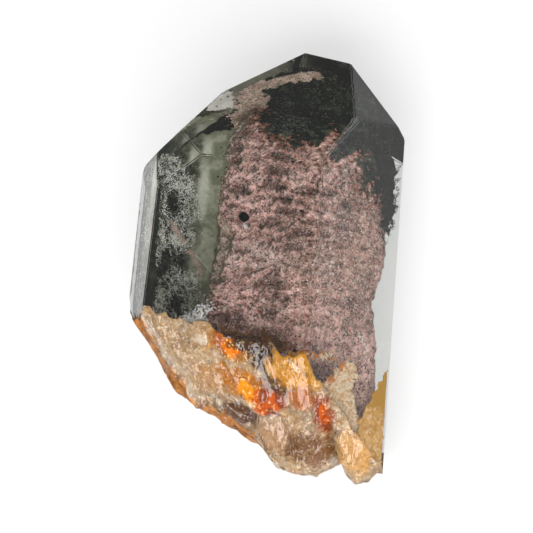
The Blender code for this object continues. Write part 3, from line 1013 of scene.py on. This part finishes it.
def phantom_material():
    """Dark moss with pale specks, pink dust where the mesh says so, and an underside painted as a reflection:
    green at the left, near black at the right.
    """
    paint = Paint("older_growth_surface", 0.9, 0.0)
    black, green = (0.006, 0.009, 0.005), (0.05, 0.06, 0.04)
    dark = paint.mix(paint.patches(0.50, 0.72, 3.2, 5.0, 0.6), black, green)
    dark = paint.over(dark, paint.patches(0.68, 0.72, 0.2, 2.0, 0.8), (0.5, 0.55, 0.55))
    pink = paint.mix(paint.patches(0.40, 0.62, 1.2, 8.0, 0.8), (0.50, 0.35, 0.27), (1.0, 0.80, 0.71))
    grain = paint.grains(0.2)
    pink = paint.over(pink, paint.steps(grain, 0.90, 0.94), (0.56, 0.22, 0.15))
    pink = paint.over(pink, paint.steps(grain, 0.30, 0.20), (0.13, 0.12, 0.08), 0.65)
    grainy = paint.math("MULTIPLY", paint.math("SUBTRACT", grain, 0.5), 0.5)
    frayed = paint.math("ADD", paint.swing(4.6, 0.9, 8.0, 0.85, 0.6), grainy)
    dusty = paint.attribute("pink")
    haze = paint.math("ADD", dusty, paint.math("MULTIPLY", frayed, 0.45))
    tone = paint.over(dark, paint.steps(haze, 0.05, 0.45), (0.15, 0.16, 0.105))
    share = paint.steps(paint.math("ADD", dusty, frayed), 0.40, 0.60)
    share = paint.math("MULTIPLY", share, paint.steps(dusty, 0.02, 0.2))
    tone = paint.over(tone, share, pink)
    # Painted reflection: the downward-facing side is coloured for how it shows mirrored in the tip faces,
    # green at the left and near black at the right
    underside = paint.mix(paint.steps(paint.part("X"), -1.0, 4.0), (0.30, 0.29, 0.22), (0.006, 0.008, 0.005))
    tone = paint.over(tone, paint.steps(paint.facing((0.0, 0.0, -1.0)), 0.0, 0.1), underside)
    paint.colour(tone)
    paint.bump(paint.noise(0.25, 3.0, 0.8), 0.6, 0.15)
    return paint.material


def moss_material(name, dark, light, flecked):
    """Moss in two tones, with pale flecks in places."""
    paint = Paint(name, 0.9, 0.0)
    tone = paint.mix(paint.patches(0.44, 0.66, 0.6, 6.0, 0.8, 0.5), dark, light)
    flecks = paint.math("MULTIPLY", paint.patches(0.60, 0.68, 0.18, 3.0, 0.8), paint.patches(0.45, 0.55, 1.4))
    paint.colour(paint.over(tone, flecks, (0.5, 0.5, 0.46), flecked))
    paint.bump(paint.noise(0.25, 3.0, 0.8), 0.7, 0.2)
    return paint.material


def left_material():
    """Chlorite film along the left back faces: dark outside, a lighter olive green toward the garden that
    partly paints light, and a pale painted light streak.
    """
    paint = Paint("chlorite_film", 0.8)
    dark = paint.mix(paint.patches(0.47, 0.66, 0.9, 6.0, 0.8, 0.5), (0.016, 0.02, 0.013), (0.12, 0.125, 0.09))
    # Partly painted light: the lighter olive toward the garden stands partly for light seen through the clear
    # part
    olive = paint.mix(paint.patches(0.4, 0.6, 2.0, 4.0), (0.30, 0.30, 0.21), (0.50, 0.49, 0.38))
    across = paint.math("ADD", paint.part("X"), paint.swing(4.0, 2.0, 6.0, 0.7))
    tone = paint.mix(paint.steps(across, -12.4, -8.8), dark, olive)
    # Painted light: a pale vertical streak on the film
    streak = paint.near((-9.6, 10.4, -4.5), (0.7, 3.6, 4.0), 0.6, 0.4)
    tone = paint.over(tone, streak, (0.92, 0.90, 0.80), 0.8)
    tone = paint.over(tone, paint.patches(0.60, 0.65, 0.2, 3.0, 0.8), (0.62, 0.61, 0.55), 0.55)
    paint.colour(tone)
    paint.bump(paint.noise(0.25, 3.0, 0.8), 0.6, 0.15)
    return paint.material


def cream_material():
    """Cream with amber patches and dark hairlines."""
    paint = Paint("cream_film", 0.4)
    tone = paint.mix(paint.patches(0.42, 0.58, 0.9, 6.0, 0.7, 1.2), (0.84, 0.54, 0.27), (1.0, 0.88, 0.66))
    tone = paint.over(tone, paint.patches(0.54, 0.62, 0.8, 5.0, 0.75, 1.0), (0.58, 0.26, 0.06), 0.8)
    tone = paint.over(tone, paint.steps(paint.veins(1.0, 5.0, 0.7, 2.0), 0.02, 0.0), (0.16, 0.08, 0.03))
    paint.colour(tone)
    paint.bump(paint.noise(0.3, 4.0, 0.7), 0.3, 0.1)
    return paint.material


def film_material():
    """Honey and amber with pale patches, brown hairlines and an olive end."""
    paint = Paint("honey_film", 0.35)
    honey, amber, olive = (0.84, 0.53, 0.16), (0.64, 0.30, 0.03), (0.56, 0.28, 0.0)
    tone = paint.mix(paint.patches(0.44, 0.56, 1.4, 6.0, 0.75, 0.8), honey, amber)
    tone = paint.over(tone, paint.patches(0.53, 0.60, 0.8, 6.0, 0.75, 0.6), (1.0, 0.80, 0.52), 0.8)
    hairlines = paint.steps(paint.veins(1.2, 5.0, 0.7, 1.6), 0.015, 0.0)
    tone = paint.over(tone, hairlines, (0.34, 0.14, 0.02), 0.7)
    tone = paint.over(tone, paint.near((17.0, -16.6, -2.0), (2.4, 3.0, 3.0), 0.3, 1.6), olive)
    paint.colour(tone)
    paint.bump(paint.noise(0.4, 4.0, 0.7), 0.5, 0.2)
    return paint.material


def dust_material(name, first, second):
    """Dust and flakes in two tones; the crack flakes also paint glints, the milky cloud a reflection and the
    brown grains a shadow.
    """
    paint = Paint(name, 0.7)
    paint.colour(paint.mix(paint.patches(0.42, 0.58, 1.5, 3.0), first, second))
    return paint.material


quartz = make_quartz(quartz_material())
crust = make_crust(crust_material())
garden = make_garden(garden_material())
phantom = make_sheet("phantom_surface", PHANTOM_OUTLINE, phantom_z, 0.15, 0.8, phantom_material())
set_values(phantom, "pink", pink_share)
# The milky cloud partly paints a pale reflection in the left back tip face
milky = make_milk(dust_material("milky", (1.0, 0.98, 0.94), (0.90, 0.88, 0.84)))
left_film = make_sheet("chlorite_left_film", LEFT_OUTLINE, left_z, 0.16, 0.5, left_material())
cream_film = make_sheet("cream_lobe", CREAM_OUTLINE, cream_z, 0.12, 0.5, cream_material())
honey_film = make_sheet("honey_stain", FILM_OUTLINE, film_z, 0.12, 0.35, film_material())
bed = make_bed(moss_material("chlorite_dark", (0.006, 0.009, 0.006), (0.04, 0.046, 0.03), 0.15))
tufts = make_tufts(moss_material("chlorite_tuft", (0.008, 0.012, 0.009), (0.06, 0.07, 0.055), 0.9))
veil = make_veil(dust_material("pale_dust", (1.0, 0.99, 0.95), (0.80, 0.80, 0.72)))
wisps = make_wisps(dust_material("pink_dust", (0.66, 0.42, 0.36), (0.45, 0.36, 0.28)))
# White flakes that partly paint glints
flakes = make_flakes("crack_flakes_and_glints", 23, CRACK_STRANDS,
                     dust_material("painted_crack_glints", (1.0, 0.97, 0.93), (0.80, 0.84, 0.90)))
crumbs = make_flakes("honey_crumbs", 29, HONEY_STRANDS,
                     dust_material("honey_crumb", (1.0, 0.84, 0.62), (0.78, 0.30, 0.04)))
# Dark brown grains: partly stain, partly painted shadow under the front face
shadow_and_stain_grains = make_flakes("brown_stain_and_shadow", 31, SHADOW_AND_STAIN_STRANDS,
                     dust_material("brown_dust_and_shadow", (0.10, 0.05, 0.015), (0.24, 0.11, 0.03)))

SLOTS = {
    "quartz": (quartz, crust, milky, cream_film, honey_film, flakes, crumbs, shadow_and_stain_grains),
    "garden": (garden, phantom, wisps, veil),
    "chlorite": (bed, tufts, left_film),
}
for slot, members in SLOTS.items():
    for piece in members:
        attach(piece, "root")
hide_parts("quartz_front", "quartz_back")
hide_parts("garden")
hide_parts("chlorite_bed")

# The floor, the soft light and the camera
floor_data = bmesh.new()
bmesh.ops.create_grid(floor_data, x_segments=1, y_segments=1, size=12.0)
floor_paint = Paint("floor", 0.8)
floor_paint.colour((FLOOR_GREY, FLOOR_GREY, FLOOR_GREY, 1.0))
floor_paint.shader.inputs["Emission Color"].default_value = (1.0, 1.0, 1.0, 1.0)
floor_paint.shader.inputs["Emission Strength"].default_value = FLOOR_GLOW
floor = new_object("floor", floor_data, floor_paint.material)
floor.location = (0.0, 0.0, -0.0001)

world = bpy.data.worlds.new("studio")
bpy.context.scene.world = world
world.use_nodes = True
world.node_tree.nodes["Background"].inputs["Color"].default_value = (1.0, 1.0, 1.0, 1.0)
world.node_tree.nodes["Background"].inputs["Strength"].default_value = WORLD_GLOW

for name, (place, size, power) in SOFTBOXES.items():
    light = bpy.data.lights.new(name, "AREA")
    light.shape = "RECTANGLE"
    light.size, light.size_y = size
    light.energy = power
    softbox = bpy.data.objects.new(name, light)
    softbox.location = place
    softbox.rotation_euler = (-Vector(place)).to_track_quat("-Z", "Y").to_euler()
    bpy.context.scene.collection.objects.link(softbox)

turn, drop, roll = (math.radians(angle) for angle in (CAMERA_TURN, CAMERA_DROP, CAMERA_ROLL))
toward = Vector((math.sin(turn) * math.cos(drop), math.sin(drop), math.cos(turn) * math.cos(drop)))
level = Vector((math.cos(turn), 0.0, -math.sin(turn)))
upward = toward.cross(level)
right = math.cos(roll) * level + math.sin(roll) * upward
up = toward.cross(right)
camera_data = bpy.data.cameras.new("camera")
camera_data.sensor_width = 36.0
camera_data.lens = camera_data.sensor_width * CAMERA_DISTANCE / (IMAGE_PIXELS * MM_PER_PIXEL)
camera = bpy.data.objects.new("camera", camera_data)
pose = Matrix((right, up, toward)).transposed().to_4x4()
pose.translation = to_row(toward * CAMERA_DISTANCE)
camera.matrix_world = pose
bpy.context.scene.collection.objects.link(camera)
bpy.context.scene.camera = camera
bpy.context.scene.view_settings.view_transform = "Standard"
